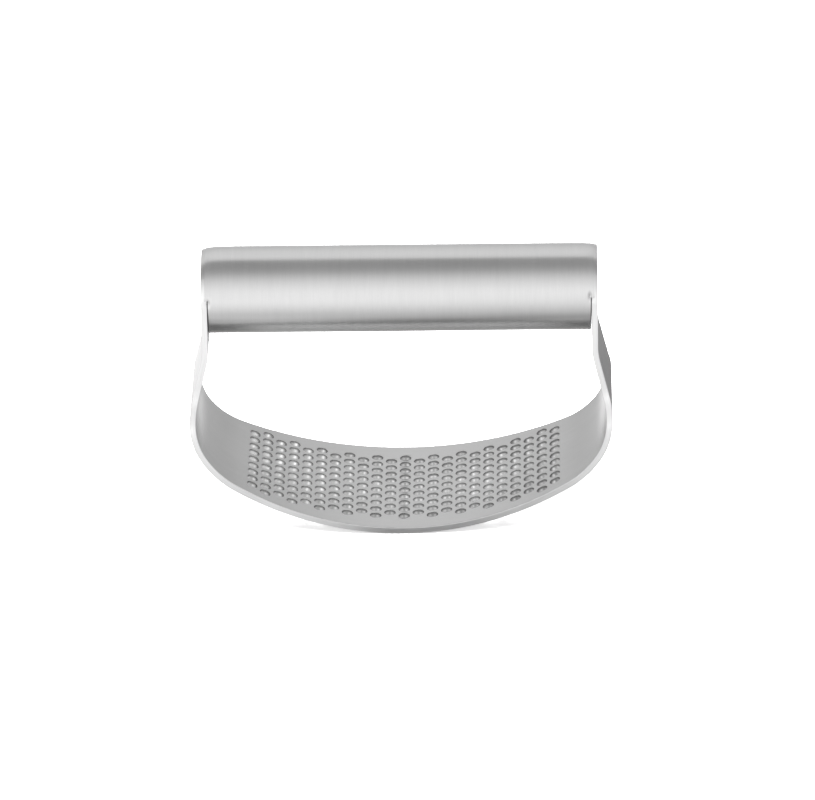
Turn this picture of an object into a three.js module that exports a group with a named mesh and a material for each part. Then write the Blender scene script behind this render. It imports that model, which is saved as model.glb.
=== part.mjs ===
// Rocker garlic press: a perforated, bent steel band hung by two arms from a tubular handle.
//
// Frame: millimetres, +Z up, +X along the handle, +Y across the band.
// The origin is on the ground under the middle of the band, where the press stands.
//
// Pieces:
//   rocker_plate    one strip of sheet: the perforated band, its flared corners, the two
//                   arms and the round tabs that close the ends of the tube
//   handle_tube     round tube between the tabs, bevelled at both ends for welding
//   left_end_weld   weld bead in the groove over the left end of the tube, dressed flush
//   right_end_weld  the same at the right end

import * as THREE from "three";

// ---------------------------------------------------------------- dimensions
const SHEET = 1.8; // thickness of the band's sheet
const AXIS_Z = 66.0; // height of the handle's axis above the ground

// Side profile of the sheet's inner face, from the middle outwards: the developed length
// and the radius of each bend in turn.
const ROCKER_R = 102.0; // the long curve that rolls on the board
const ROCKER_LEN = 49.3;
const SHOULDER = [
  [24.0, 11.5],
  [16.0, 5.0],
]; // radius and length of the tighter bends beside it
const HIP_R = 20.5; // last outward bend, up to the leaning arm
const LEAN = THREE.MathUtils.degToRad(13.66); // the arm leans in by this angle
const NECK_R = 20.8; // bend that brings the arm upright
const NECK_X = 55.0; // inner face of the upright arm
const FLAT_HALF = 2.45; // half the length of the flat under the middle

// Width of the strip along its developed length, measured from the middle: a band with
// bowed edges, a filleted shoulder, and a neck that tapers to the tube's own width.
const WIDTH = [
  [0, 52.0],
  [12.0, 51.4],
  [24.2, 49.7],
  [36.8, 46.8],
  [47.7, 43.3],
  [56.4, 40.5],
  [64.8, 38.2],
  [69.6, 37.1],
  [71.8, 36.2],
  [73.4, 34.4],
  [74.9, 31.6],
  [76.4, 29.8],
  [78.4, 28.9],
  [84.0, 28.0],
  [93.2, 26.6],
  [106.9, 25.0],
  [200, 25.0],
];

// Perforations: staggered columns of round holes.
const HOLE_D = 3.2;
const HOLE_SIDES = 8;
const COLUMNS = 23;
const COLUMN_PITCH = 4.1; // along the band
const ROW_PITCH = 4.1; // across the band
const ROWS_ODD = 9; // first, third, ... column
const ROWS_EVEN = 10;
const FIELD_X = 0.4; // the punched field sits this far off the middle of the band
const FIELD_Y = 0.15;

// Handle.
const TUBE_OD = 25.0;
const TUBE_WALL = 1.2;
const TUBE_BEVEL = 0.9;
const TUBE_SIDES = 60;
const WELD_FROM = 2; // the bead starts this many sides above the horizontal

const STEEL = { color: 0xb4b6b8, roughness: 0.38, metalness: 1.0 };
const TUBE_STEEL = { color: 0xb9bbbd, roughness: 0.34, metalness: 1.0 };
const WELD_STEEL = { color: 0xc0c1c2, roughness: 0.42, metalness: 1.0 };

// ---------------------------------------------------------------- profile
// Bends of the inner face as [curvature, length], the last one endless and straight.
function profileSegments() {
  const segs = [
    [1 / ROCKER_R, ROCKER_LEN],
    ...SHOULDER.map(([r, l]) => [1 / r, l]),
  ];
  let turned = segs.reduce((a, [k, l]) => a + k * l, 0);
  segs.push([1 / HIP_R, (Math.PI / 2 + LEAN - turned) * HIP_R]);
  let x = 0;
  let a = 0;
  for (const [k, l] of segs) {
    x += (Math.sin(a + k * l) - Math.sin(a)) / k;
    a += k * l;
  }
  // The leaning part is as long as it takes to end the last bend at NECK_X.
  const lean = (x - NECK_R * (1 - Math.cos(LEAN)) - NECK_X) / Math.sin(LEAN);
  segs.push([0, lean], [-1 / NECK_R, LEAN * NECK_R], [0, 1e6]);
  return segs;
}
const SEGMENTS = profileSegments();

// Point and direction of the inner face at developed length s >= 0.
function walk(s) {
  let x = 0;
  let z = SHEET;
  let a = 0;
  for (const [k, len] of SEGMENTS) {
    const l = Math.min(s, len);
    if (k === 0) {
      x += l * Math.cos(a);
      z += l * Math.sin(a);
    } else {
      x += (Math.sin(a + k * l) - Math.sin(a)) / k;
      z += (Math.cos(a) - Math.cos(a + k * l)) / k;
      a += k * l;
    }
    s -= l;
    if (s <= 0) break;
  }
  return { x, z, a };
}

// The flat under the middle lies a hair above the curve's lowest line, so the whole sheet
// is lowered by that much to stand on the ground.
const FLAT = walk(FLAT_HALF);
const FLAT_DROP =
  FLAT.z - SHEET * Math.cos(FLAT.a); // height of the flat's outer face before lowering

// 3-D point of the sheet at developed length s, width position y, on the inner (0) or
// outer (1) face.
function sheetPoint(s, y, side) {
  const m = Math.abs(s);
  const sign = s < 0 ? -1 : 1;
  let x;
  let z;
  if (m < FLAT_HALF) {
    const f = m / FLAT_HALF;
    x = f * (FLAT.x + side * SHEET * Math.sin(FLAT.a));
    z = FLAT.z - side * SHEET * Math.cos(FLAT.a);
  } else {
    const p = walk(m);
    x = p.x + side * SHEET * Math.sin(p.a);
    z = p.z - side * SHEET * Math.cos(p.a);
  }
  return [sign * x, y, z - FLAT_DROP];
}

// Developed lengths at the end of the hip bend, at the end of the leaning arm, where the
// arm stands upright, and where it reaches the handle's axis.
const lengthOf = (n) => SEGMENTS.slice(0, n).reduce((a, [, l]) => a + l, 0);
const S_HIP = lengthOf(4);
const S_LEAN = lengthOf(5);
const S_UPRIGHT = lengthOf(6);
const S_AXIS = S_UPRIGHT + (AXIS_Z - sheetPoint(S_UPRIGHT, 0, 0)[2]);

// ---------------------------------------------------------------- width
// Monotone cubic through the WIDTH table, so the edge has no overshoot.
function monotone(table) {
  const n = table.length;
  const d = [];
  for (let i = 0; i < n - 1; i++)
    d.push((table[i + 1][1] - table[i][1]) / (table[i + 1][0] - table[i][0]));
  const m = [0];
  for (let i = 1; i < n - 1; i++) {
    if (d[i - 1] * d[i] <= 0) m.push(0);
    else {
      const a = table[i][0] - table[i - 1][0];
      const b = table[i + 1][0] - table[i][0];
      const w1 = 2 * b + a;
      const w2 = b + 2 * a;
      m.push((w1 + w2) / (w1 / d[i - 1] + w2 / d[i]));
    }
  }
  m.push(0);
  return (x) => {
    let i = 0;
    while (i < n - 2 && x > table[i + 1][0]) i++;
    const h = table[i + 1][0] - table[i][0];
    const t = Math.min(1, Math.max(0, (x - table[i][0]) / h));
    const t2 = t * t;
    const t3 = t2 * t;
    return (
      (2 * t3 - 3 * t2 + 1) * table[i][1] +
      (t3 - 2 * t2 + t) * h * m[i] +
      (3 * t2 - 2 * t3) * table[i + 1][1] +
      (t3 - t2) * h * m[i + 1]
    );
  };
}
const widthAt = monotone(WIDTH);

// ---------------------------------------------------------------- flat pattern
// The sheet is meshed once as a flat pattern in (s, y), then both faces are bent from it
// and joined by walls along every free edge, the outline and the holes alike.
class Pattern {
  constructor() {
    this.points = [];
    this.index = new Map();
    this.triangles = [];
  }
  point(s, y) {
    const key = Math.round(s * 1e5) + "," + Math.round(y * 1e5);
    if (!this.index.has(key)) {
      this.index.set(key, this.points.length);
      this.points.push([s, y]);
    }
    return this.index.get(key);
  }
  // Triangle turned anticlockwise, and skipped when two corners coincide.
  tri(a, b, c) {
    if (a === b || b === c || c === a) return;
    const [ax, ay] = this.points[a];
    const [bx, by] = this.points[b];
    const [cx, cy] = this.points[c];
    const turn = (bx - ax) * (cy - ay) - (by - ay) * (cx - ax);
    this.triangles.push(turn > 0 ? [a, b, c] : [a, c, b]);
  }
  // Strip between two lines of points that run the same way.
  stitch(p, q) {
    let i = 0;
    let j = 0;
    const y = (k) => this.points[k][1];
    while (i < p.length - 1 || j < q.length - 1) {
      const stepP =
        j === q.length - 1 ||
        (i < p.length - 1 && y(p[i + 1]) + y(p[i]) < y(q[j + 1]) + y(q[j]));
      if (stepP) {
        this.tri(p[i], p[i + 1], q[j]);
        i++;
      } else {
        this.tri(p[i], q[j + 1], q[j]);
        j++;
      }
    }
  }
  // Ring between an outline and a hole, both anticlockwise round (cs, cy).
  ring(outline, hole, cs, cy) {
    const around = (loop) => {
      const withAngle = loop.map((k) => {
        const [s, y] = this.points[k];
        return [Math.atan2(y - cy, s - cs), k];
      });
      return withAngle.sort((a, b) => a[0] - b[0]);
    };
    const o = around(outline);
    const h = around(hole);
    let i = 0;
    let j = 0;
    const angle = (loop, k) =>
      loop[k % loop.length][0] + (k >= loop.length ? 2 * Math.PI : 0);
    const at = (loop, k) => loop[k % loop.length][1];
    while (i < o.length || j < h.length) {
      const stepO =
        j === h.length || (i < o.length && angle(o, i + 1) < angle(h, j + 1));
      if (stepO) {
        this.tri(at(o, i), at(o, i + 1), at(h, j));
        i++;
      } else {
        this.tri(at(o, i), at(h, j + 1), at(h, j));
        j++;
      }
    }
  }
}

function flatPattern() {
  const pat = new Pattern();
  const half = (s) => widthAt(Math.abs(s)) / 2;
  const rows = (c) => (c % 2 === 0 ? ROWS_ODD : ROWS_EVEN);
  const left = (c) => FIELD_X + (c - COLUMNS / 2) * COLUMN_PITCH;
  const gridY = (k) => FIELD_Y + (k * ROW_PITCH) / 2;

  for (let c = 0; c < COLUMNS; c++) {
    const s0 = left(c);
    const s1 = left(c + 1);
    const sc = (s0 + s1) / 2;
    const n = rows(c);
    for (let r = 0; r < n; r++) {
      const k = 2 * r - n; // grid line under the cell
      const yc = gridY(k + 1);
      const outline = [
        [s0, gridY(k)],
        [s1, gridY(k)],
        [s1, yc],
        [s1, gridY(k + 2)],
        [s0, gridY(k + 2)],
        [s0, yc],
      ].map(([s, y]) => pat.point(s, y));
      const hole = [];
      for (let i = 0; i < HOLE_SIDES; i++) {
        const a = ((i + 0.5) / HOLE_SIDES) * 2 * Math.PI;
        hole.push(
          pat.point(
            sc + (HOLE_D / 2) * Math.cos(a),
            yc + (HOLE_D / 2) * Math.sin(a),
          ),
        );
      }
      pat.ring(outline, hole, sc, yc);
    }
    // Plain margins beside the column. A line shared with a fuller column has one more
    // grid point than this column's own cells reach.
    for (const side of [-1, 1]) {
      const line = (s, shared) => {
        const ys = [gridY(side * n)];
        if (shared && n < ROWS_EVEN) ys.push(gridY(side * ROWS_EVEN));
        ys.push(side * half(s));
        if (side < 0) ys.reverse();
        return ys.map((y) => pat.point(s, y));
      };
      pat.stitch(line(s0, c > 0), line(s1, c < COLUMNS - 1));
    }
  }

  // Plain sheet from each end of the field to the top of its tab.
  for (const sign of [-1, 1]) {
    const end = sign < 0 ? left(0) : left(COLUMNS);
    const first = [-half(end)];
    for (let k = -ROWS_ODD; k <= ROWS_ODD; k++) first.push(gridY(k));
    first.push(half(end));
    let prev = first.map((y) => pat.point(end, y));
    const stations = [49.3, 52.2, 54.6, 56.8, 58.8, 60.8, 62.5, 64.1, 65.8];
    stations.push(67.6, 69.4, 71.0, 72.2, 73.2, 74.1, 75.0, 75.9, S_HIP, 78.4);
    stations.push(81.0, S_LEAN, 89.6, 90.8, 92.0, S_UPRIGHT, S_AXIS);
    for (const m of stations) {
      const s = sign * m;
      const h = m === S_AXIS ? TUBE_OD / 2 : half(s);
      const next = [pat.point(s, -h), pat.point(s, h)];
      pat.stitch(prev, next);
      prev = next;
    }
    // Round top, on the tube's own division.
    const quarter = TUBE_SIDES / 4;
    for (let i = 1; i <= quarter; i++) {
      const a = (i / quarter) * (Math.PI / 2);
      const s = sign * (S_AXIS + (TUBE_OD / 2) * Math.sin(a));
      const h = i === quarter ? 0 : (TUBE_OD / 2) * Math.cos(a);
      const next =
        h === 0 ? [pat.point(s, 0)] : [pat.point(s, -h), pat.point(s, h)];
      pat.stitch(prev, next);
      prev = next;
    }
  }
  return pat;
}

function rockerPlate() {
  const pat = flatPattern();
  const n = pat.points.length;
  const position = new Float32Array(n * 6);
  pat.points.forEach(([s, y], i) => {
    position.set(sheetPoint(s, y, 0), i * 3);
    position.set(sheetPoint(s, y, 1), (n + i) * 3);
  });
  const index = [];
  const free = new Map();
  for (const t of pat.triangles) {
    index.push(t[0], t[1], t[2]); // inner face
    index.push(n + t[0], n + t[2], n + t[1]); // outer face
    for (let e = 0; e < 3; e++) {
      const a = t[e];
      const b = t[(e + 1) % 3];
      if (free.has(b + "," + a)) free.delete(b + "," + a);
      else free.set(a + "," + b, [a, b]);
    }
  }
  for (const [a, b] of free.values()) {
    index.push(n + a, n + b, b);
    index.push(n + a, b, a);
  }
  const g = new THREE.BufferGeometry();
  g.setAttribute("position", new THREE.BufferAttribute(position, 3));
  g.setIndex(index);
  g.computeVertexNormals();
  return g;
}

// ---------------------------------------------------------------- handle
function handleTube() {
  const r = TUBE_OD / 2;
  const bore = r - TUBE_WALL;
  const e = NECK_X;
  const profile = [
    [bore, -e],
    [r - TUBE_BEVEL, -e],
    [r, -e + TUBE_BEVEL],
    [r, e - TUBE_BEVEL],
    [r - TUBE_BEVEL, e],
    [bore, e],
    [bore, -e],
  ].map(([x, y]) => new THREE.Vector2(x, y));
  const g = new THREE.LatheGeometry(profile, TUBE_SIDES);
  g.rotateZ(-Math.PI / 2);
  return g;
}

// Bead of three-cornered section that fills the groove between the tube's bevel and the
// tab, round the upper side. side is -1 for the left end and 1 for the right.
function weldBead(side) {
  const r = TUBE_OD / 2;
  const section = [
    [NECK_X, r - TUBE_BEVEL],
    [NECK_X, r],
    [NECK_X - TUBE_BEVEL, r],
  ];
  const from = WELD_FROM;
  const to = TUBE_SIDES / 2 - WELD_FROM;
  const position = [];
  for (let i = from; i <= to; i++) {
    const a = (i / TUBE_SIDES) * 2 * Math.PI;
    for (const [x, q] of section)
      position.push(side * x, -q * Math.cos(a), q * Math.sin(a));
  }
  const index = [];
  const face = (a, b, c) =>
    side < 0 ? index.push(a, b, c) : index.push(a, c, b);
  for (let i = 0; i < to - from; i++)
    for (let k = 0; k < 3; k++) {
      const a = i * 3 + k;
      const b = i * 3 + ((k + 1) % 3);
      face(a, b, b + 3);
      face(a, b + 3, a + 3);
    }
  const last = (to - from) * 3;
  face(0, 2, 1);
  face(last, last + 1, last + 2);
  const g = new THREE.BufferGeometry();
  g.setAttribute("position", new THREE.Float32BufferAttribute(position, 3));
  g.setIndex(index);
  g.computeVertexNormals();
  return g;
}

// ---------------------------------------------------------------- assembly
const press = new THREE.Group();

function add(parent, name, geometry, material) {
  const mesh = new THREE.Mesh(
    geometry,
    new THREE.MeshStandardMaterial({ ...material, flatShading: true }),
  );
  mesh.name = name;
  parent.add(mesh);
  return mesh;
}

add(press, "rocker_plate", rockerPlate(), STEEL);

const handle = new THREE.Group();
handle.position.set(0, 0, AXIS_Z);
press.add(handle);
add(handle, "handle_tube", handleTube(), TUBE_STEEL);
add(handle, "left_end_weld", weldBead(-1), WELD_STEEL);
add(handle, "right_end_weld", weldBead(1), WELD_STEEL);

export default press;
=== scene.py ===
import math

import bpy
import numpy as np
from mathutils import Matrix, Vector
from mathutils.geometry import tessellate_polygon


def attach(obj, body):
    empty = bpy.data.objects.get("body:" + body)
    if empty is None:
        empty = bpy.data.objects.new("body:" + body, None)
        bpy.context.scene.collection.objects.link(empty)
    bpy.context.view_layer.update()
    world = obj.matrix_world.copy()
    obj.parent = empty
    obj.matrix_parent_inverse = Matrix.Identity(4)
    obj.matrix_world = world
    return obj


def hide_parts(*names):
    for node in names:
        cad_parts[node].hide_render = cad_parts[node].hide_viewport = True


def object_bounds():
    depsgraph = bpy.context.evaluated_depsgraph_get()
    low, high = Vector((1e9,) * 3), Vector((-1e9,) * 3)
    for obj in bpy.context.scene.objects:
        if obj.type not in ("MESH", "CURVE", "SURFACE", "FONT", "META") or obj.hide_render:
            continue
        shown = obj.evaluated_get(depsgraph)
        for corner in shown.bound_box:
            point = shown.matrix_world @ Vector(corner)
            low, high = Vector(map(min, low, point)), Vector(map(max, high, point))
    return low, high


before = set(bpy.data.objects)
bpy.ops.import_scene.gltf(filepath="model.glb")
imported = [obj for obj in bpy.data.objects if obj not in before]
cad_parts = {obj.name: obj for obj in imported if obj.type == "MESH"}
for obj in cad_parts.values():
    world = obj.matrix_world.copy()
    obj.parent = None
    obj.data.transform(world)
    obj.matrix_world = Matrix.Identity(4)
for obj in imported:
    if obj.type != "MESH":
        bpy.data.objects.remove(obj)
cad_box = [[float(v) for v in c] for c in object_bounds()]

MM = 0.001
LOW, HIGH = np.array(cad_box[0]) / MM, np.array(cad_box[1]) / MM

# ------------------------------------------------------------------ dimensions (mm)
# The same driving dimensions as the CAD model.
SHEET = 1.8
AXIS_Z = 66.0
ROCKER_R, ROCKER_LEN = 102.0, 49.3
SHOULDER = [(24.0, 11.5), (16.0, 5.0)]
HIP_R = 20.5
LEAN = math.radians(13.66)
NECK_R = 20.8
NECK_X = 55.0
FLAT_HALF = 2.45
WIDTH = [
    (0, 52.0), (12.0, 51.4), (24.2, 49.7), (36.8, 46.8), (47.7, 43.3), (56.4, 40.5),
    (64.8, 38.2), (69.6, 37.1), (71.8, 36.2), (73.4, 34.4), (74.9, 31.6), (76.4, 29.8),
    (78.4, 28.9), (84.0, 28.0), (93.2, 26.6), (106.9, 25.0), (200, 25.0),
]
HOLE_R = 1.6
COLUMNS = 23
COLUMN_PITCH = 4.1
ROW_PITCH = 4.1
ROWS_ODD, ROWS_EVEN = 9, 10
FIELD_X, FIELD_Y = 0.4, 0.15
TUBE_R = 12.5
TUBE_WALL = 1.2

# Details that only the looks need.
EDGE_R = 0.18  # deburred corners along the sheet's outline
HOLE_SIDES = 36
HOLE_LIP = 0.14  # rounding at each hole's mouth
GRIND = {-1: (0.95, 1.9), 1: (0.62, 1.6)}  # depth and run-out of the dressing at each end


# ------------------------------------------------------------------ profile
def segments():
    segs = [(1 / ROCKER_R, ROCKER_LEN)] + [(1 / r, l) for r, l in SHOULDER]
    turned = sum(k * l for k, l in segs)
    segs.append((1 / HIP_R, (math.pi / 2 + LEAN - turned) * HIP_R))
    x = a = 0.0
    for k, l in segs:
        x += (math.sin(a + k * l) - math.sin(a)) / k
        a += k * l
    lean = (x - NECK_R * (1 - math.cos(LEAN)) - NECK_X) / math.sin(LEAN)
    return segs + [(0.0, lean), (-1 / NECK_R, LEAN * NECK_R), (0.0, 1e6)]


SEGS = segments()


def walk(s):
    x, z, a = 0.0, SHEET, 0.0
    for k, length in SEGS:
        l = min(s, length)
        if k == 0:
            x += l * math.cos(a)
            z += l * math.sin(a)
        else:
            x += (math.sin(a + k * l) - math.sin(a)) / k
            z += (math.cos(a) - math.cos(a + k * l)) / k
            a += k * l
        s -= l
        if s <= 0:
            break
    return x, z, a


FX, FZ, FA = walk(FLAT_HALF)
FLAT_DROP = FZ - SHEET * math.cos(FA)
S_UPRIGHT = sum(l for _, l in SEGS[:6])
S_HIP = sum(l for _, l in SEGS[:4])
S_LEAN = sum(l for _, l in SEGS[:5])


def bend(s, y, depth, ns=0.0, ny=0.0, nd=1.0):
    """The point at developed length s, width y and depth below the inner face, with the
    direction (ns, ny, nd): along the sheet, across it, and out of its inner face."""
    m, sign = abs(s), (-1.0 if s < 0 else 1.0)
    if m < FLAT_HALF:
        f = m / FLAT_HALF
        x = f * (FX + depth * math.sin(FA))
        z = FZ - depth * math.cos(FA)
        a = f * FA
    else:
        px, pz, a = walk(m)
        x = px + depth * math.sin(a)
        z = pz - depth * math.cos(a)
    ca, sa = math.cos(a), math.sin(a)
    # Along the sheet for growing s, and out of its inner face.
    tangent = (ca, sign * sa)
    inward = (-sign * sa, ca)
    n = (ns * tangent[0] + nd * inward[0], ny, ns * tangent[1] + nd * inward[1])
    return (sign * x, y, z - FLAT_DROP), n


S_AXIS = S_UPRIGHT + (AXIS_Z - bend(S_UPRIGHT, 0, 0)[0][2])


def monotone(table):
    n = len(table)
    d = [(table[i + 1][1] - table[i][1]) / (table[i + 1][0] - table[i][0]) for i in range(n - 1)]
    m = [0.0]
    for i in range(1, n - 1):
        if d[i - 1] * d[i] <= 0:
            m.append(0.0)
        else:
            a = table[i][0] - table[i - 1][0]
            b = table[i + 1][0] - table[i][0]
            w1, w2 = 2 * b + a, b + 2 * a
            m.append((w1 + w2) / (w1 / d[i - 1] + w2 / d[i]))
    m.append(0.0)

    def f(x):
        i = 0
        while i < n - 2 and x > table[i + 1][0]:
            i += 1
        h = table[i + 1][0] - table[i][0]
        t = min(1.0, max(0.0, (x - table[i][0]) / h))
        return (
            (2 * t**3 - 3 * t**2 + 1) * table[i][1]
            + (t**3 - 2 * t**2 + t) * h * m[i]
            + (3 * t**2 - 2 * t**3) * table[i + 1][1]
            + (t**3 - t**2) * h * m[i + 1]
        )

    return f


WIDTH_AT = monotone(WIDTH)


def half(s):
    return WIDTH_AT(abs(s)) / 2


def smooth(t):
    t = min(1.0, max(0.0, t))
    return t * t * (3 - 2 * t)


# ------------------------------------------------------------------ mesh helper
class Builder:
    """Collects corners with their own normals, so each face shades as the exact surface."""

    def __init__(self):
        self.verts = []
        self.faces = []
        self.normals = []
        self.slots = []
        self.uvs = []
        self.tones = []

    def vert(self, p):
        self.verts.append(p)
        return len(self.verts) - 1

    def face(self, idx, normals, slot, uv=None, tone=None):
        """Adds a face, turned so that it faces the way that its normals point. tone is one
        number for each corner, which the material may read."""
        p = [self.verts[i] for i in idx]
        a = np.subtract(p[1], p[0])
        b = np.subtract(p[2], p[0])
        n = np.cross(a, b)
        if len(p) == 4:
            n = n + np.cross(b, np.subtract(p[3], p[0]))
        m = np.sum(normals, axis=0)
        if np.dot(n, m) < 0:
            idx = idx[::-1]
            normals = normals[::-1]
            uv = uv[::-1] if uv else uv
            tone = tone[::-1] if tone else tone
        self.faces.append(tuple(idx))
        self.normals.extend(normals)
        self.slots.append(slot)
        self.uvs.extend(uv or [(0.0, 0.0)] * len(idx))
        self.tones.extend(tone or [0.0] * len(idx))

    def build(self, name, materials, shape=None):
        me = bpy.data.meshes.new(name)
        v = np.array(self.verts, float)
        v = np.clip(v, LOW, HIGH)
        n = np.array(self.normals, float)
        loops = np.array([i for f in self.faces for i in f])
        if shape is not None:
            v, n = shape(v, n, loops)
        me.from_pydata((v * MM).tolist(), [], self.faces)
        for m in materials:
            me.materials.append(m)
        me.polygons.foreach_set("material_index", self.slots)
        me.polygons.foreach_set("use_smooth", [True] * len(self.faces))
        uv = me.uv_layers.new(name="flat")
        uv.data.foreach_set("uv", (np.array(self.uvs, float) * MM).ravel())
        tone = me.attributes.new("tone", "FLOAT", "CORNER")
        tone.data.foreach_set("value", np.array(self.tones, float))
        me.update()
        n /= np.maximum(np.linalg.norm(n, axis=1, keepdims=True), 1e-12)
        me.normals_split_custom_set(n.tolist())
        ob = bpy.data.objects.new(name, me)
        bpy.context.scene.collection.objects.link(ob)
        return ob


# Small craters where each weld stops, in front and behind: end, place along the handle,
# angle above the front, half widths along and around (mm), depth.
CRATERS = [
    (1, 54.65, 10.8, 0.52, 1.35, 0.62), (-1, 54.7, 6.6, 0.50, 1.1, 0.4),
    (1, 54.3, 174.0, 0.5, 0.8, 0.25), (-1, 54.3, 172.0, 0.5, 0.9, 0.28),
]


def crater(v, n, loops):
    y, z = v[:, 1], v[:, 2] - AXIS_Z
    r = np.hypot(y, z)
    phi = np.arctan2(z, -y)
    skin = np.clip((r - TUBE_R + 0.7) / 0.6, 0, 1)
    for end, x0, a0, sx, sa, depth in CRATERS:
        u = (v[:, 0] - end * x0) / sx
        w = (phi - math.radians(a0)) * TUBE_R / sa
        d = depth * np.exp(-(u**2) - w**2) * skin
        cd, cu, cw = d[loops], u[loops], w[loops]
        facing = np.clip((n[:, 1] * y[loops] + n[:, 2] * z[loops]) / np.maximum(r[loops], 1e-9), 0, 1)
        gx, gp = -2 * cu / sx * cd * facing, -2 * cw / sa * cd * facing
        # around the handle, phi grows from the front upwards
        ty, tz = z[loops] / r[loops], -y[loops] / r[loops]
        n[:, 0] += gx
        n[:, 1] += gp * ty
        n[:, 2] += gp * tz
        k = 1 - d / np.maximum(r, 1e-9)
        v[:, 1] = v[:, 1] * k
        v[:, 2] = AXIS_Z + (v[:, 2] - AXIS_Z) * k
    return v, n


def dress(v, n, loops):
    """The ends of the handle are ground after welding, which takes a little off the upper
    side there. It moves the vertices towards the handle's axis and tips the normals."""
    v, n = crater(v.copy(), n.copy(), loops)
    y, z = v[:, 1], v[:, 2] - AXIS_Z
    r = np.hypot(y, z)
    up = np.clip(z / np.maximum(r, 1e-9) / 0.55, 0, 1)
    up = up * up * (3 - 2 * up)
    side = np.where(v[:, 0] < 0, -1, 1)
    depth = np.where(side < 0, GRIND[-1][0], GRIND[1][0])
    run = np.where(side < 0, GRIND[-1][1], GRIND[1][1])
    d = np.maximum(NECK_X + SHEET - np.abs(v[:, 0]), 0)
    drop = depth * np.exp(-d / run) * up
    slope = drop / run * (r / TUBE_R)
    k = np.where(z > 0, 1 - drop / TUBE_R, 1.0)
    # Corner normals on the round faces lean outwards by the slope of the drop.
    cn, cy, cz = n, y[loops], z[loops]
    rad = np.hypot(cy, cz)
    facing = (cn[:, 1] * cy + cn[:, 2] * cz) / np.maximum(rad, 1e-9)
    cn[:, 0] += np.where(cz > 0, side[loops] * slope[loops] * np.clip(facing, 0, 1), 0)
    v[:, 1] = y * k
    v[:, 2] = AXIS_Z + z * k
    return v, cn


# ------------------------------------------------------------------ materials
def nodes_of(name):
    mat = bpy.data.materials.new(name)
    mat.use_nodes = True
    nt = mat.node_tree
    nt.nodes.clear()
    out = nt.nodes.new("ShaderNodeOutputMaterial")
    bsdf = nt.nodes.new("ShaderNodeBsdfPrincipled")
    nt.links.new(bsdf.outputs["BSDF"], out.inputs["Surface"])
    bsdf.inputs["Metallic"].default_value = 1.0
    return mat, nt, bsdf


def mapping(nt, coords, scale, rotation=(0, 0, 0)):
    m = nt.nodes.new("ShaderNodeMapping")
    m.inputs["Scale"].default_value = scale
    m.inputs["Rotation"].default_value = rotation
    nt.links.new(coords, m.inputs["Vector"])
    return m.outputs["Vector"]


def noise(nt, vector, scale=1.0, detail=4.0, rough=0.55):
    n = nt.nodes.new("ShaderNodeTexNoise")
    n.inputs["Scale"].default_value = scale
    n.inputs["Detail"].default_value = detail
    n.inputs["Roughness"].default_value = rough
    nt.links.new(vector, n.inputs["Vector"])
    return n.outputs["Fac"]


def math_node(nt, op, a, b=None, c=None, clamp=False):
    m = nt.nodes.new("ShaderNodeMath")
    m.operation = op
    m.use_clamp = clamp
    for i, v in enumerate((a, b, c)):
        if v is None:
            continue
        if isinstance(v, (int, float)):
            m.inputs[i].default_value = v
        else:
            nt.links.new(v, m.inputs[i])
    return m.outputs[0]


def ranged(nt, fac, lo, hi, f0=0.3, f1=0.7):
    m = nt.nodes.new("ShaderNodeMapRange")
    m.inputs["From Min"].default_value = f0
    m.inputs["From Max"].default_value = f1
    m.inputs["To Min"].default_value = lo
    m.inputs["To Max"].default_value = hi
    nt.links.new(fac, m.inputs["Value"])
    return m.outputs["Result"]


def grey(nt, value, tint=(1.0, 1.0, 1.0)):
    c = nt.nodes.new("ShaderNodeCombineColor")
    for i, t in enumerate(tint):
        nt.links.new(math_node(nt, "MULTIPLY", value, t), c.inputs[i])
    return c.outputs[0]


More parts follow.
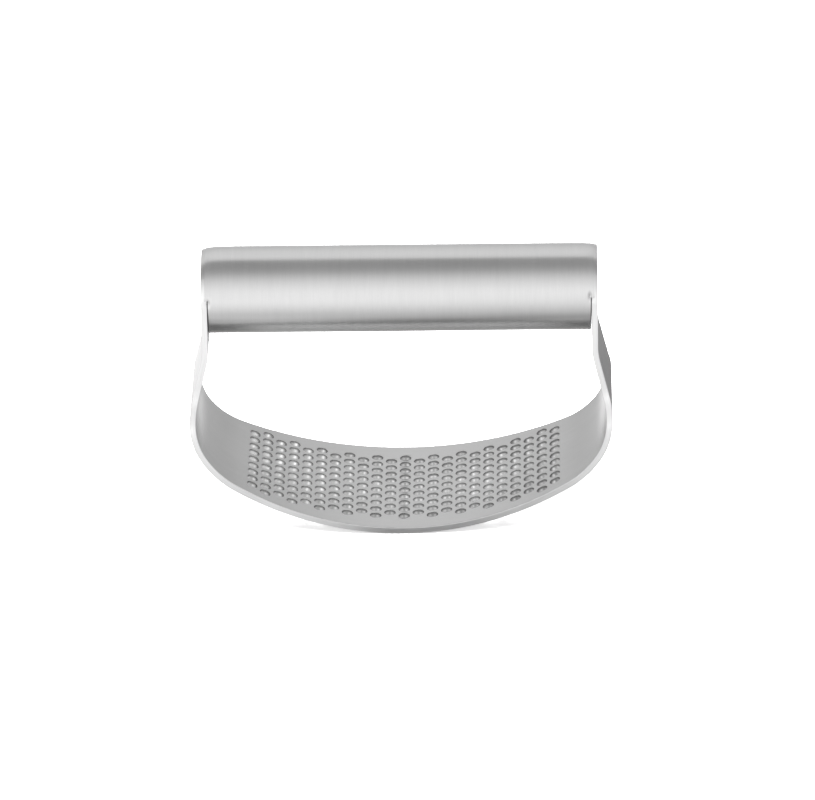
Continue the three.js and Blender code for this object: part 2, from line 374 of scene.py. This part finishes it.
def brushed(
    name,
    base=0.62,
    swing=0.03,
    rough=0.34,
    rough_swing=0.05,
    grain=(60.0, 5200.0, 1.0),
    streak=(12.0, 900.0, 1.0),
    bump=0.05,
    distance=0.00002,
    aniso=0.0,
    tangent=None,
    blotch=0.02,
    toned=None,
    tint=(1.0, 1.0, 1.0),
):
    """Brushed steel. grain and streak stretch their noise along the brushing, in the flat
    pattern's own coordinates (metres)."""
    mat, nt, bsdf = nodes_of(name)
    uv = nt.nodes.new("ShaderNodeUVMap")
    uv.uv_map = "flat"
    tc = nt.nodes.new("ShaderNodeTexCoord")
    fine = noise(nt, mapping(nt, uv.outputs["UV"], grain), 1.0, 5.0, 0.6)
    wide = noise(nt, mapping(nt, uv.outputs["UV"], streak), 1.0, 3.0, 0.5)
    cloud = noise(nt, tc.outputs["Object"], 55.0, 3.0, 0.5)
    micro = noise(nt, tc.outputs["Object"], 2600.0, 2.0, 0.6)
    tone = math_node(
        nt,
        "ADD",
        math_node(nt, "ADD", ranged(nt, fine, -swing, swing), ranged(nt, wide, -swing * 0.8, swing * 0.8)),
        ranged(nt, cloud, -blotch, blotch),
    )
    value = math_node(nt, "ADD", tone, base)
    if toned:  # the surface turns from base to toned where the mesh says so
        at = nt.nodes.new("ShaderNodeAttribute")
        at.attribute_name = "tone"
        value = math_node(nt, "ADD", value, math_node(nt, "MULTIPLY", at.outputs["Fac"], toned - base))
    nt.links.new(grey(nt, value, tint), bsdf.inputs["Base Color"])
    r = math_node(
        nt,
        "ADD",
        ranged(nt, fine, -rough_swing, rough_swing),
        ranged(nt, cloud, -rough_swing * 0.6, rough_swing * 0.6),
    )
    nt.links.new(math_node(nt, "ADD", r, rough, clamp=True), bsdf.inputs["Roughness"])
    height = math_node(
        nt, "ADD", math_node(nt, "MULTIPLY", fine, 0.7), math_node(nt, "MULTIPLY", micro, 0.3)
    )
    b = nt.nodes.new("ShaderNodeBump")
    b.inputs["Strength"].default_value = bump
    b.inputs["Distance"].default_value = distance
    nt.links.new(height, b.inputs["Height"])
    nt.links.new(b.outputs["Normal"], bsdf.inputs["Normal"])
    if aniso:
        bsdf.inputs["Anisotropic"].default_value = aniso
        t = nt.nodes.new("ShaderNodeTangent")
        if tangent == "uv":
            t.direction_type = "UV_MAP"
            t.uv_map = "flat"
        else:
            t.direction_type = "RADIAL"
            t.axis = tangent
        nt.links.new(t.outputs["Tangent"], bsdf.inputs["Tangent"])
    return mat


plate_face = brushed(
    "plate_satin_steel", base=0.60, rough=0.36, aniso=0.3, tangent="uv", swing=0.012, blotch=0.014,
    grain=(500.0, 3600.0, 1.0), streak=(90.0, 500.0, 1.0), bump=0.06,
)
plate_under = brushed(
    "plate_under_steel", base=0.58, rough=0.33, aniso=0.3, tangent="uv", swing=0.02,
    grain=(260.0, 4200.0, 1.0), streak=(40.0, 500.0, 1.0),
)
plate_edge = brushed(
    "plate_edge_steel", base=0.80, toned=0.65, rough=0.38, grain=(250.0, 4200.0, 1.0), streak=(60.0, 1600.0, 1.0),
    swing=0.04, bump=0.05,
)
# Rough, torn wall under each hole's mouth; its dark colour is painted shade under the rim.
hole_torn_shade = brushed(
    "hole_torn_painted_shade_steel", base=0.36, toned=0.50, swing=0.08, rough=0.42, grain=(2600.0, 2600.0, 1.0), bump=0.35,
    distance=0.00006,
)
# Smooth, burnished wall below; a high tone paints highlights (glints) on it, and a tone below zero paints shade.
hole_burnished_glint = brushed(
    "hole_burnished_painted_glint_steel", base=0.47, toned=1.0, rough=0.24, grain=(900.0, 4000.0, 1.0), bump=0.06
)
tube_steel = brushed(
    "tube_brushed_steel", base=0.64, rough=0.32, grain=(3800.0, 170.0, 1.0), streak=(700.0, 60.0, 1.0),
    swing=0.016, rough_swing=0.03, aniso=0.75, tangent="uv", bump=0.035, blotch=0.012,
)
tube_bore_steel = brushed("tube_bore_steel", base=0.45, rough=0.45, grain=(60.0, 3000.0, 1.0))
weld_steel = brushed(
    "weld_dressed_steel", base=0.64, rough=0.34, grain=(3800.0, 170.0, 1.0), streak=(700.0, 60.0, 1.0),
    swing=0.016, rough_swing=0.03, aniso=0.6, tangent="uv", bump=0.04, blotch=0.012,
)


# ------------------------------------------------------------------ rocker plate
def rocker_plate():
    b = Builder()
    pts = {}  # flat point -> (inner vertex, outer vertex)
    flat = []

    def point(s, y):
        key = (round(s, 5), round(y, 5))
        if key not in pts:
            pts[key] = len(flat)
            flat.append((s, y, b.vert(bend(s, y, 0)[0]), b.vert(bend(s, y, SHEET)[0])))
        return pts[key]

    # The hole walls' slots: the rough zone carries painted shade, the smooth zone painted highlights and shade.
    FACE, UNDER, EDGE, TORN_SHADE, BURN_GLINT, TOP = range(6)

    def surface(idx):
        if len(set(idx)) < 3:
            return
        f = [flat[i] for i in idx]
        up = [bend(p[0], p[1], 0)[1] for p in f]
        uv = [(p[0], p[1]) for p in f]
        b.face([p[2] for p in f], up, FACE, uv)
        b.face([p[3] for p in f], [(-n[0], -n[1], -n[2]) for n in up], UNDER, uv)

    def polygon(idx):
        loop = [Vector((flat[i][0], flat[i][1], 0)) for i in idx]
        for t in tessellate_polygon([loop]):
            surface([idx[k] for k in t])

    def stitch(p, q):
        i = j = 0
        y = lambda k: flat[k][1]
        while i < len(p) - 1 or j < len(q) - 1:
            if j == len(q) - 1 or (i < len(p) - 1 and y(p[i + 1]) + y(p[i]) < y(q[j + 1]) + y(q[j])):
                surface([p[i], p[i + 1], q[j]])
                i += 1
            else:
                surface([p[i], q[j + 1], q[j]])
                j += 1

    def ring(outline, hole, sc, yc):
        def around(loop):
            return sorted((math.atan2(flat[k][1] - yc, flat[k][0] - sc), k) for k in loop)

        o, h = around(outline), around(hole)

        def angle(loop, k):
            return loop[k % len(loop)][0] + (2 * math.pi if k >= len(loop) else 0)

        i = j = 0
        while i < len(o) or j < len(h):
            if j == len(h) or (i < len(o) and angle(o, i + 1) < angle(h, j + 1)):
                surface([o[i % len(o)][1], o[(i + 1) % len(o)][1], h[j % len(h)][1]])
                i += 1
            else:
                surface([o[i % len(o)][1], h[(j + 1) % len(h)][1], h[j % len(h)][1]])
                j += 1

    left = lambda c: FIELD_X + (c - COLUMNS / 2) * COLUMN_PITCH
    grid = lambda k: FIELD_Y + k * ROW_PITCH / 2
    rows = lambda c: ROWS_ODD if c % 2 == 0 else ROWS_EVEN

    # Outline samples: s, position, outward direction in the flat pattern.
    def outline_at(s, side):
        h = 1e-3
        slope = (half(s + h) - half(s - h)) / (2 * h)
        n = math.hypot(slope, 1)
        return (s, side * half(s), -slope / n, side / n)

    def shading(s, y, ns, ny):
        """The outline's direction for shading, eased over the tight corners."""
        if abs(s) > S_AXIS:
            return ns, ny
        w = 3.0
        slope = (half(s + w) - half(s - w)) / (2 * w)
        n = math.hypot(slope, 1)
        return -slope / n, math.copysign(1, y) / n

    inset = {}

    def edge_point(p):
        s, y, ns, ny = p
        i = point(s - EDGE_R * ns, y - EDGE_R * ny)
        inset[i] = p
        return i

    STEPS = 4
    field = [left(c) + COLUMN_PITCH * k / STEPS for c in range(COLUMNS) for k in range(STEPS)]
    field.append(left(COLUMNS))

    def plain(sign):
        end = abs(field[0] if sign < 0 else field[-1])
        s = [end]
        while s[-1] < S_AXIS - 0.4:
            m = s[-1]
            step = 0.9 if m < 55 else 0.6 if m < 70 else 0.4 if m < 80 else 0.8 if m < 94 else 1.6
            s.append(m + step)
        s[-1] = S_AXIS
        return [sign * v for v in s]

    right_s, left_s = plain(1), plain(-1)
    bottom = {}
    top = {}
    for s in field + right_s + left_s:
        bottom[s] = edge_point(outline_at(s, -1)) if abs(s) < S_AXIS else edge_point((s, -TUBE_R, 0, -1))
        top[s] = edge_point(outline_at(s, 1)) if abs(s) < S_AXIS else edge_point((s, TUBE_R, 0, 1))

    # Perforated field.
    mouth = HOLE_R + HOLE_LIP
    holes = []
    for c in range(COLUMNS):
        s0, s1 = left(c), left(c + 1)
        sc, n = (s0 + s1) / 2, rows(c)
        for r in range(n):
            k = 2 * r - n
            yc = grid(k + 1)
            outline = [
                point(s0, grid(k)), point(s1, grid(k)), point(s1, yc),
                point(s1, grid(k + 2)), point(s0, grid(k + 2)), point(s0, yc),
            ]
            rim = [
                point(sc + mouth * math.cos(2 * math.pi * (i + 0.5) / HOLE_SIDES),
                      yc + mouth * math.sin(2 * math.pi * (i + 0.5) / HOLE_SIDES))
                for i in range(HOLE_SIDES)
            ]
            ring(outline, rim, sc, yc)
            holes.append((sc, yc, rim))
        steps = field[c * STEPS : c * STEPS + STEPS + 1]
        for side, edge in ((-1, bottom), (1, top)):
            line = [edge[s] for s in steps]
            right = [point(s1, grid(side * n))]
            leftl = [point(s0, grid(side * n))]
            if n < ROWS_EVEN:
                if c < COLUMNS - 1:
                    right.insert(0, point(s1, grid(side * ROWS_EVEN)))
                if c > 0:
                    leftl.append(point(s0, grid(side * ROWS_EVEN)))
            polygon(line + right + leftl)

    # Plain sheet and the round tabs.
    tabs = {}
    for sign, ss in ((1, right_s), (-1, left_s)):
        prev = [bottom[ss[0]]] + [point(ss[0], grid(k)) for k in range(-ROWS_ODD, ROWS_ODD + 1)] + [top[ss[0]]]
        for s in ss[1:]:
            nxt = [bottom[s], top[s]]
            stitch(prev, nxt)
            prev = nxt
        arc = []
        N = 36
        for i in range(1, N):
            a = math.pi / 2 * (2 * i / N - 1)
            arc.append(edge_point((sign * (S_AXIS + TUBE_R * math.cos(a)), TUBE_R * math.sin(a), sign * math.cos(a), math.sin(a))))
        tabs[sign] = arc
        for i in range(N // 2 - 1):
            nxt = [arc[i], arc[N - 2 - i]]
            stitch(prev, nxt)
            prev = nxt
        stitch(prev, [arc[N // 2 - 1]])

    # Deburred rim round the whole outline.
    order = (
        [bottom[s] for s in left_s[::-1]] + [bottom[s] for s in field[1:-1]] + [bottom[s] for s in right_s]
        + tabs[1] + [top[s] for s in right_s[::-1]] + [top[s] for s in field[1:-1][::-1]] + [top[s] for s in left_s]
        + tabs[-1][::-1]
    )
    CORNER = 4
    section = []
    for i in range(CORNER + 1):
        a = math.pi / 2 * i / CORNER
        section.append((EDGE_R - EDGE_R * math.sin(a), EDGE_R - EDGE_R * math.cos(a), math.sin(a), math.cos(a)))
    section += [(o, SHEET - d, so, -si) for o, d, so, si in section[::-1]]
    rings = []
    run = 0.0
    last = None
    for i in order:
        s, y, ns, ny = inset[i]
        if last is not None:
            run += math.hypot(s - last[0], y - last[1])
        last = (s, y)
        col = []
        es, ey = shading(s, y, ns, ny)
        p0 = bend(s, y, 0)[0]
        phi = math.degrees(math.atan2(p0[2] - AXIS_Z, abs(p0[1])))
        t0, t1 = (12.0, 60.0) if s < 0 else (-2.0, 28.0)
        finish = smooth((phi - t0) / (t1 - t0)) if p0[2] > AXIS_Z - 5 else 0.0
        for q, (off, depth, so, up) in enumerate(section):
            p, n = bend(s - off * ns, y - off * ny, depth, es * so, ey * so, up)
            if q == 0:
                v = flat[i][2]
            elif q == len(section) - 1:
                v = flat[i][3]
            else:
                v = b.vert(p)
            col.append((v, n, (run, depth + 0.4 * off), finish))
        rings.append((col, phi > 45 and abs(s) > S_AXIS))
    for i in range(len(rings)):
        (c0, t0), (c1, t1) = rings[i], rings[(i + 1) % len(rings)]
        for q in range(len(section) - 1):
            quad = [c0[q], c1[q], c1[q + 1], c0[q + 1]]
            uv = [x[2] for x in quad]
            if i == len(rings) - 1:
                uv = [c0[q][2]] * 2 + [c0[q + 1][2]] * 2
            slot = TOP if (t0 or t1) else EDGE
            if slot == TOP:  # the dressed top is brushed round the handle, like the tube
                uv = [(u[1], u[0]) for u in uv]
            b.face([x[0] for x in quad], [x[1] for x in quad], slot, uv, [x[3] for x in quad])

    # Hole walls: a rough, torn zone under the mouth, coloured dark as painted shade under the rim, and a smoother,
    # burnished one below it with painted highlights on its flanks and painted shade at the rear. All of it wanders
    # from hole to hole.
    rng = np.random.default_rng(7)
    LIP = 2
    lip = []
    for i in range(LIP + 1):
        a = math.pi / 2 * i / LIP
        lip.append((HOLE_LIP * (1 - math.sin(a)), HOLE_LIP * (1 - math.cos(a)), math.sin(a), math.cos(a)))

    def bump_at(a, centre, spread):
        d = (a - centre + math.pi) % (2 * math.pi) - math.pi
        return math.exp(-((d / spread) ** 2))

    for sc, yc, rim in holes:
        side = min(1.0, max(-1.0, sc / 24.0))  # -1 at the left end of the field, 1 at the right
        base = 0.46 + 0.05 * rng.standard_normal()
        waves = [(0.04 * rng.standard_normal(), rng.uniform(0, 2 * math.pi), m) for m in (1, 2, 3, 5)]
        # Where the painted shade under the rim reaches deepest; it turns with the hole's place in the field.
        shade_deepest_at = math.radians(90 - 45 * side)
        # Painted highlights: a bright patch on each flank of the wall, strongest on the flank that faces the middle
        # of the field.
        painted_glints = []
        for sign, gain in ((1, 1.0 - 0.75 * max(0.0, side)), (-1, max(0.0, 0.55 + 0.6 * side))):
            at = math.radians(90 - sign * (19 + 4 * rng.standard_normal()))
            painted_glints.append((at, math.radians(rng.uniform(12, 18)), min(1.0, gain * (0.72 + 0.28 * abs(side)) * rng.uniform(0.45, 1.1))))
        cols = []
        for i, k in enumerate(rim):
            a = 2 * math.pi * (i + 0.5) / HOLE_SIDES
            ca, sa = math.cos(a), math.sin(a)
            m = abs(a if a < math.pi else 2 * math.pi - a)  # the same at the front and the rear
            # The lower border of the painted shade under the rim.
            edge = base + 0.1 * math.cos(m - shade_deepest_at) + sum(w * math.cos(n * a + p) for w, p, n in waves)
            edge = min(0.78, max(0.34, edge))
            painted_glint = min(1.0, sum(g * bump_at(m, at, w) for at, w, g in painted_glints))
            # Painted shade at the rear of the holes in the middle of the field.
            painted_shade = 0.35 * (1 - abs(side)) * bump_at(m, math.pi / 2, 0.16)
            # The smooth rows' tone: painted highlights less painted shade.
            low = painted_glint - painted_shade
            wall = [(o, d, so, up, 0.0) for o, d, so, up in lip]
            # Rows of the wall: offset, depth, the normal's share away from the hole's centre and out of the face,
            # and tone.
            wall += [
                (0.0, edge - 0.12, 1.0, 0.0, 0.1), (0.0, edge, 1.0, 0.0, 0.9),
                (0.0, edge + 0.14, 1.0, 0.0, low), (0.0, 1.15, 1.0, 0.0, low), (0.0, 1.42, 1.0, 0.0, 0.35 * low),
            ]
            wall += [(o, SHEET - d, so, -up, 0.1) for o, d, so, up in lip[::-1]]
            col = []
            for q, (off, depth, so, up, tone) in enumerate(wall):
                r = HOLE_R + off
                p, n = bend(sc + r * ca, yc + r * sa, depth, -ca * so, -sa * so, up)
                v = flat[k][2] if q == 0 else flat[k][3] if q == len(wall) - 1 else b.vert(p)
                col.append((v, n, (a * HOLE_R, depth), tone))
            cols.append(col)
        for i in range(HOLE_SIDES):
            c0, c1 = cols[i], cols[(i + 1) % HOLE_SIDES]
            for q in range(len(c0) - 1):
                quad = [c0[q], c1[q], c1[q + 1], c0[q + 1]]
                # Rough rows take the painted shade under the rim, smooth rows the painted highlights.
                slot = FACE if q == 0 else TORN_SHADE if q < LIP + 2 else BURN_GLINT
                tone = [x[3] for x in quad]
                if q == LIP + 2:  # the first smooth row starts at its own tone
                    tone[0] = tone[1] = 0.0
                b.face([x[0] for x in quad], [x[1] for x in quad], slot, [x[2] for x in quad], tone)
    return b.build(
        "rocker_plate_sheet",
        [plate_face, plate_under, plate_edge, hole_torn_shade, hole_burnished_glint, tube_steel],
        dress,
    )


# ------------------------------------------------------------------ handle
def revolve(name, profile, materials, a0=0.0, a1=2 * math.pi, steps=240, closed=True, shape=None):
    """Turns a section of (x, radius, nx, nr, slot) about the handle's axis. Where the
    section turns a corner, two entries share a place."""
    b = Builder()
    whole = abs(a1 - a0 - 2 * math.pi) < 1e-6
    n = steps if whole else steps + 1
    cols = []
    place = {}
    for i in range(n):
        a = a0 + (a1 - a0) * i / steps
        ca, sa = math.cos(a), math.sin(a)
        col = []
        for q, (x, r, nx, nr, slot) in enumerate(profile):
            key = (i, round(x, 6), round(r, 6))
            if key not in place:
                place[key] = b.vert((x, -r * ca, AXIS_Z + r * sa))
            col.append((place[key], (nx, -nr * ca, nr * sa), (x, a * TUBE_R)))
        cols.append(col)
    for i in range(steps):
        c0, c1 = cols[i], cols[(i + 1) % n]
        wrap = whole and i == steps - 1
        m = len(profile)
        for q in range(m if closed else m - 1):
            p, nq = q, (q + 1) % m
            if c0[p][0] == c0[nq][0]:
                continue
            quad = [c0[p], c1[p], c1[nq], c0[nq]]
            uv = [list(x[2]) for x in quad]
            if wrap:
                uv[1][1] = uv[2][1] = a1 * TUBE_R
            b.face([x[0] for x in quad], [x[1] for x in quad], profile[p][4], [tuple(u) for u in uv])
    if not whole:
        for i, sgn in ((0, -1), (n - 1, 1)):
            a = a0 + (a1 - a0) * (0 if i == 0 else 1)
            nrm = (0, sgn * math.sin(a), sgn * math.cos(a))
            seen, idx, uv = set(), [], []
            for x in cols[i]:
                if x[0] not in seen:
                    seen.add(x[0])
                    idx.append(x[0])
                    uv.append(x[2])
            b.face(idx, [nrm] * len(idx), profile[0][4], uv)
    return b.build(name, materials, shape)


def handle_tube():
    r, e = TUBE_R, NECK_X - 0.12
    bore = r - TUBE_WALL
    c = 0.35  # rounded corner at each end
    prof = []
    for i in range(7):
        a = math.pi / 2 * i / 6
        prof.append((-e + c - c * math.cos(a), r - c + c * math.sin(a), -math.cos(a), math.sin(a), 0))
    near = [0.2, 0.4, 0.6, 0.8, 1.0, 1.25, 1.5, 1.8, 2.2, 3.0, 4.5, 8.0, 14.0]
    xs = [-e + c + d for d in near] + [-20, 0, 20] + [e - c - d for d in near[::-1]]
    prof += [(x, r, 0, 1, 0) for x in xs]
    for i in range(7):
        a = math.pi / 2 * i / 6
        prof.append((e - c + c * math.sin(a), r - c + c * math.cos(a), math.sin(a), math.cos(a), 0))
    prof += [(e, bore, 1, 0, 0), (e, bore, 0, -1, 1), (-e, bore, 0, -1, 1), (-e, bore, -1, 0, 0)]
    return revolve("handle_tube_shell", prof, [tube_steel, tube_bore_steel], shape=dress)


def weld(side):
    r, e = TUBE_R, NECK_X
    s = side
    sec = [
        (e - 1.25, r - 0.04), (e - 1.0, r + 0.006), (e - 0.6, r + 0.012), (e - 0.2, r + 0.012),
        (e + 0.25, r + 0.012), (e + 0.5, r + 0.006), (e + 0.7, r - 0.04), (e + 0.25, r - 0.1),
        (e + 0.02, r - 0.7), (e - 0.4, r - 0.6),
    ]
    prof = []
    for i, (x, q) in enumerate(sec):
        out = i < 7
        prof.append((s * x, q, 0 if out else s * (1 if i < 9 else -1) * 0.7, 1 if out else -0.7, 0))
    a0 = math.radians(9.5)
    return revolve(
        ("left" if side < 0 else "right") + "_end_weld_bead", prof, [weld_steel],
        a0=a0, a1=math.pi - a0, steps=150, shape=dress,
    )


plate = rocker_plate()
tube = handle_tube()
weld_l, weld_r = weld(-1), weld(1)

for piece, node, slot in (
    (plate, "rocker_plate", "plate_steel"),
    (tube, "handle_tube", "tube_steel"),
    (weld_l, "left_end_weld", "weld_steel"),
    (weld_r, "right_end_weld", "weld_steel"),
):
    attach(piece, "root")
    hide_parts(node)

# ------------------------------------------------------------------ stage
# Painted light and shadow of the paper, as only the steel sees it: its glow by distance to the front (mm), then
# painted spots (x, distance to the front, half widths, depth; a negative depth is a bright spot, a positive one a
# painted shadow).
FLOOR_STOPS = [
    (-400, 0.70), (-220, 0.62), (-110, 0.52), (-75, 0.48), (-45, 0.38), (-30, 0.44), (-20, 0.46), (20, 0.5),
    (29, 0.6), (43, 0.60), (54, 0.66), (67, 0.75), (83, 0.85), (102, 0.95), (126, 1.04), (160, 1.12), (212, 1.19),
    (400, 1.27),
]
FLOOR_PAINTED_SPOTS = [
    (14.0, 30.0, 36.0, 10.0, 0.66), (46.0, 44.0, 22.0, 14.0, 0.3), (-42.0, 50.0, 18.0, 13.0, -0.42),
    (-112.0, -110.0, 62.0, 90.0, -1.9), (90.0, -105.0, 50.0, 70.0, 0.42), (-31.0, -66.0, 9.0, 16.0, -1.7),
    (36.0, -70.0, 14.0, 20.0, -4.6), (0.0, 0.0, 50.0, 26.0, -1.0), (-50.0, 8.0, 24.0, 21.0, -0.75),
    (48.0, 14.0, 24.0, 20.0, -0.65),
    (-60.0, 35.0, 15.0, 12.0, 0.4), (-3.0, 30.0, 10.0, 8.0, 0.3),
]
FLOOR_LEAN = 0.0008

floor_me = bpy.data.meshes.new("floor")
F = 6.0
floor_me.from_pydata([(-F, -F, 0), (F, -F, 0), (F, F, 0), (-F, F, 0)], [], [(0, 1, 2, 3)])
floor = bpy.data.objects.new("floor", floor_me)
bpy.context.scene.collection.objects.link(floor)
floor.location.z = -0.0002
fmat = bpy.data.materials.new("floor_paper")
fmat.use_nodes = True
nt = fmat.node_tree
nt.nodes.clear()
out = nt.nodes.new("ShaderNodeOutputMaterial")
white = nt.nodes.new("ShaderNodeBsdfDiffuse")
white.inputs["Color"].default_value = (0.93, 0.93, 0.93, 1)

# What the steel mirrors of the paper is a glow with painted light and shadow: bright towards the front light,
# dimmer close to the object and under it, as a painted contact shadow.
geo = nt.nodes.new("ShaderNodeNewGeometry")
sep = nt.nodes.new("ShaderNodeSeparateXYZ")
nt.links.new(geo.outputs["Position"], sep.inputs[0])
px = math_node(nt, "MULTIPLY", sep.outputs["X"], 1000.0)
py = math_node(nt, "MULTIPLY", sep.outputs["Y"], -1000.0)


def blob(x0, y0, sx, sy, depth):
    """1 - depth * exp(-(x-x0)^2/sx^2 - (y-y0)^2/sy^2), with y counted to the front."""
    u = math_node(nt, "DIVIDE", math_node(nt, "SUBTRACT", px, x0), sx)
    v = math_node(nt, "DIVIDE", math_node(nt, "SUBTRACT", py, y0), sy)
    q = math_node(nt, "ADD", math_node(nt, "MULTIPLY", u, u), math_node(nt, "MULTIPLY", v, v))
    g = math_node(nt, "EXPONENT", math_node(nt, "MULTIPLY", q, -1.0))
    return math_node(nt, "SUBTRACT", 1.0, math_node(nt, "MULTIPLY", g, depth))


far = nt.nodes.new("ShaderNodeValToRGB")
nt.links.new(math_node(nt, "DIVIDE", math_node(nt, "ADD", py, 300.0), 700.0, clamp=True), far.inputs[0])
fs = FLOOR_STOPS
el = far.color_ramp.elements
while len(el) > 1:
    el.remove(el[-1])
for i, (y_, v) in enumerate(fs):
    e_ = el[0] if i == 0 else el.new((y_ + 300.0) / 700.0)
    e_.position = (y_ + 300.0) / 700.0
    e_.color = (v, v, v, 1)
seen = far.outputs["Color"]
for bl in FLOOR_PAINTED_SPOTS:
    seen = math_node(nt, "MULTIPLY", seen, blob(*bl))
# Painted light: the glow grows towards the left.
lean_x = math_node(nt, "SUBTRACT", 1.0, math_node(nt, "MULTIPLY", px, FLOOR_LEAN), clamp=False)
lean_x = math_node(nt, "MINIMUM", math_node(nt, "MAXIMUM", lean_x, 0.85), 1.15)
seen = math_node(nt, "MULTIPLY", seen, lean_x)
# The glow that glossy rays see, carrying the painted light and shadow above.
glow = nt.nodes.new("ShaderNodeEmission")
glow.inputs["Color"].default_value = (1, 1, 1, 1)
nt.links.new(seen, glow.inputs["Strength"])
mix = nt.nodes.new("ShaderNodeMixShader")
lp = nt.nodes.new("ShaderNodeLightPath")
nt.links.new(lp.outputs["Is Glossy Ray"], mix.inputs[0])
lift = nt.nodes.new("ShaderNodeEmission")
lift.inputs["Color"].default_value = (1, 1, 1, 1)
lift.inputs["Strength"].default_value = 0.42
paper = nt.nodes.new("ShaderNodeAddShader")
nt.links.new(white.outputs[0], paper.inputs[0])
nt.links.new(lift.outputs[0], paper.inputs[1])
nt.links.new(paper.outputs[0], mix.inputs[1])
nt.links.new(glow.outputs[0], mix.inputs[2])
nt.links.new(mix.outputs[0], out.inputs["Surface"])
floor_me.materials.append(fmat)

# Soft studio surroundings: bright in front, dim overhead, a light wall behind.
world = bpy.data.worlds.new("studio")
bpy.context.scene.world = world
world.use_nodes = True
nt = world.node_tree
nt.nodes.clear()
out = nt.nodes.new("ShaderNodeOutputWorld")
bg = nt.nodes.new("ShaderNodeBackground")
tc = nt.nodes.new("ShaderNodeTexCoord")
sep = nt.nodes.new("ShaderNodeSeparateXYZ")
nt.links.new(tc.outputs["Generated"], sep.inputs[0])
front = math_node(nt, "MULTIPLY", sep.outputs["Y"], -1.0)
ang = math_node(nt, "ARCTAN2", sep.outputs["Z"], front)
fac = math_node(nt, "DIVIDE", ang, math.pi, clamp=True)
ramp = nt.nodes.new("ShaderNodeValToRGB")
stops = [
    (0, 1.27), (10, 1.29), (20, 1.24), (30, 1.13), (40, 1.03), (50, 0.89), (60, 0.72), (70, 0.53), (82, 0.41),
    (105, 0.37), (108.5, 0.42), (111, 0.97), (125, 1.06), (140, 1.0), (155, 0.88), (168, 0.72), (180, 0.64),
]
el = ramp.color_ramp.elements
while len(el) > 1:
    el.remove(el[-1])
for i, (deg, v) in enumerate(stops):
    e_ = el[0] if i == 0 else el.new(deg / 180)
    e_.position = deg / 180
    e_.color = (v, v, v, 1)
nt.links.new(fac, ramp.inputs[0])
# Dimmer behind, to the right, than straight behind.
dx = math_node(nt, "MULTIPLY", sep.outputs["X"], 2.6, clamp=True)
dy = math_node(nt, "MULTIPLY", sep.outputs["Y"], 1.6, clamp=True)
dz = math_node(nt, "MULTIPLY", sep.outputs["Z"], 9.0, clamp=True)
dim = math_node(nt, "MULTIPLY", math_node(nt, "MULTIPLY", dx, dy), dz)
dim = math_node(nt, "SUBTRACT", 1.0, math_node(nt, "MULTIPLY", dim, 0.26))
ex = math_node(nt, "MULTIPLY", sep.outputs["X"], -2.6, clamp=True)
dim2 = math_node(nt, "MULTIPLY", math_node(nt, "MULTIPLY", ex, dy), dz)
dim = math_node(nt, "MULTIPLY", dim, math_node(nt, "SUBTRACT", 1.0, math_node(nt, "MULTIPLY", dim2, 0.1)))
lp = nt.nodes.new("ShaderNodeLightPath")
again = math_node(nt, "GREATER_THAN", lp.outputs["Glossy Depth"], 1.5)
dim = math_node(nt, "MULTIPLY", dim, math_node(nt, "SUBTRACT", 1.0, math_node(nt, "MULTIPLY", again, 0.5)))
nt.links.new(grey(nt, math_node(nt, "MULTIPLY", ramp.outputs["Color"], dim)), bg.inputs["Color"])
bg.inputs["Strength"].default_value = 1.0
plain = nt.nodes.new("ShaderNodeBackground")
plain.inputs["Color"].default_value = (1, 1, 1, 1)
mix = nt.nodes.new("ShaderNodeMixShader")
nt.links.new(lp.outputs["Is Camera Ray"], mix.inputs[0])
nt.links.new(bg.outputs[0], mix.inputs[1])
nt.links.new(plain.outputs[0], mix.inputs[2])
nt.links.new(mix.outputs[0], out.inputs["Surface"])

# Overhead soft light for the paper only: it doesn't show in the steel.
ld = bpy.data.lights.new("top_soft", "AREA")
ld.shape = "SQUARE"
ld.size = 3.0
ld.energy = 330.0
lo = bpy.data.objects.new("top_soft", ld)
lo.location = (0, 0, 2.5)
bpy.context.scene.collection.objects.link(lo)
lo.visible_glossy = False

# ------------------------------------------------------------------ camera
FOCAL_PX = 7842.9
DIST = 2253.0
ELEV = math.radians(25.5)
AZ = math.radians(1.221)
ROLL = math.radians(1.084)
OFF_X, OFF_Y = -7.73, -112.22  # where the handle's centre stands from the frame's centre

T = Vector((0, 0, AXIS_Z))
F0 = Vector((-math.sin(AZ) * math.cos(ELEV), math.cos(AZ) * math.cos(ELEV), -math.sin(ELEV)))
R0 = Vector((math.cos(AZ), math.sin(AZ), 0))
U0 = R0.cross(F0)
R1 = R0 * math.cos(ROLL) - U0 * math.sin(ROLL)
U1 = R0 * math.sin(ROLL) + U0 * math.cos(ROLL)
Fw = (F0 - R1 * (OFF_X / FOCAL_PX) + U1 * (OFF_Y / FOCAL_PX)).normalized()
R2 = (R1 - Fw * R1.dot(Fw)).normalized()
U2 = R2.cross(Fw)
cam = bpy.data.cameras.new("camera")
cam.sensor_fit = "HORIZONTAL"
cam.sensor_width = 36.0
cam.lens = FOCAL_PX * 36.0 / 815.0
cam.clip_start = 0.05
cam.clip_end = 50
co = bpy.data.objects.new("camera", cam)
bpy.context.scene.collection.objects.link(co)
pos = (T - F0 * DIST) * MM
m = Matrix.Identity(4)
for i in range(3):
    m[i][0], m[i][1], m[i][2], m[i][3] = R2[i], U2[i], -Fw[i], pos[i]
co.matrix_world = m
bpy.context.scene.camera = co

bpy.context.scene.view_settings.view_transform = "Standard"
bpy.context.scene.view_settings.look = "None"
bpy.context.scene.view_settings.exposure = 0.0
bpy.context.scene.view_settings.gamma = 1.0
